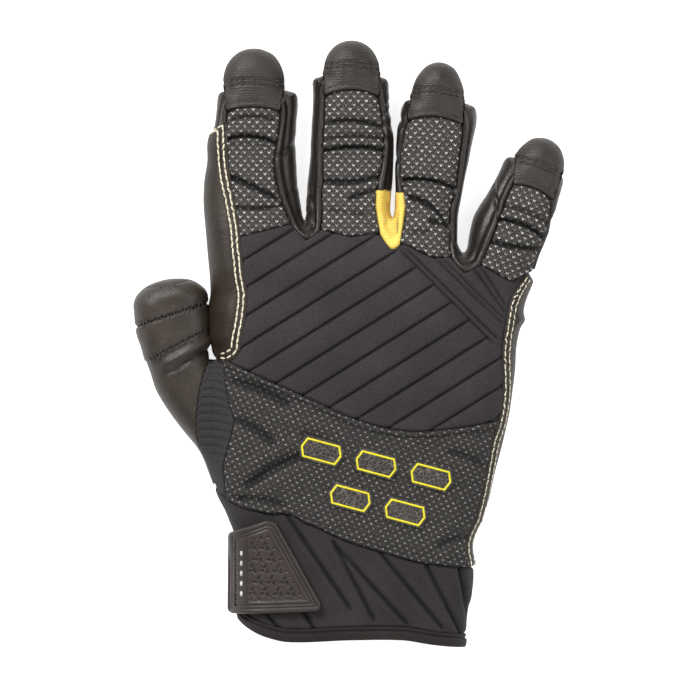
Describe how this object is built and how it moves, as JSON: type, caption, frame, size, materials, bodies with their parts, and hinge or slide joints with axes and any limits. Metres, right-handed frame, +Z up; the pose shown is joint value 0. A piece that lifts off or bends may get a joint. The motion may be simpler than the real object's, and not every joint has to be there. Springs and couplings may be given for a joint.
{
  "type": "sailing glove",
  "caption": "Right-hand sailing glove with full fingers, lying palm down: leather palm and tips, mesh backs, ribbed neoprene over the knuckles and wrist, strap with a moulded tab.",
  "frame": {"origin": "on the surface the glove lies on, under the middle of its plan", "axes": "+Y towards the fingertips, +Z up out of the back of the hand, thumb on the -X side"},
  "size_m": [0.1554, 0.2189, 0.0255],
  "materials": {
    "leather": "matt, fine grain",
    "mesh_cloth": "printed with small light dots",
    "neoprene": "knit faced neoprene with pressed ribs",
    "strap_rubber": "embossed, semi matt",
    "pad_rubber": "black with a yellow raised rim",
    "yellow_stretch": "smooth stretch cloth",
    "edge_tape": "woven binding tape"
  },
  "bodies": {
    "root": {"palm_panel": "leather", "index_tip_cap": "leather", "middle_tip_cap": "leather", "ring_tip_cap": "leather", "little_tip_cap": "leather", "index_outer_side": "leather", "index_middle_side": "leather", "middle_side": "leather", "ring_side": "leather", "ring_little_side": "leather", "little_outer_side": "leather", "index_side_patch": "leather", "hand_side_panel": "leather", "thumb_base": "leather", "thumb_band": "leather", "thumb_cap": "leather", "index_back": "mesh_cloth", "middle_back": "mesh_cloth", "ring_back": "mesh_cloth", "little_back": "mesh_cloth", "hand_mesh_panel": "mesh_cloth", "back_panel": "neoprene", "thumb_gusset": "neoprene", "cuff_sleeve": "neoprene", "wrist_strap": "strap_rubber", "strap_tab": "strap_rubber", "pad_1": "pad_rubber", "pad_2": "pad_rubber", "pad_3": "pad_rubber", "pad_4": "pad_rubber", "pad_5": "pad_rubber", "crotch_gusset": "yellow_stretch", "cuff_binding": "edge_tape"}
  },
  "joints": []
}
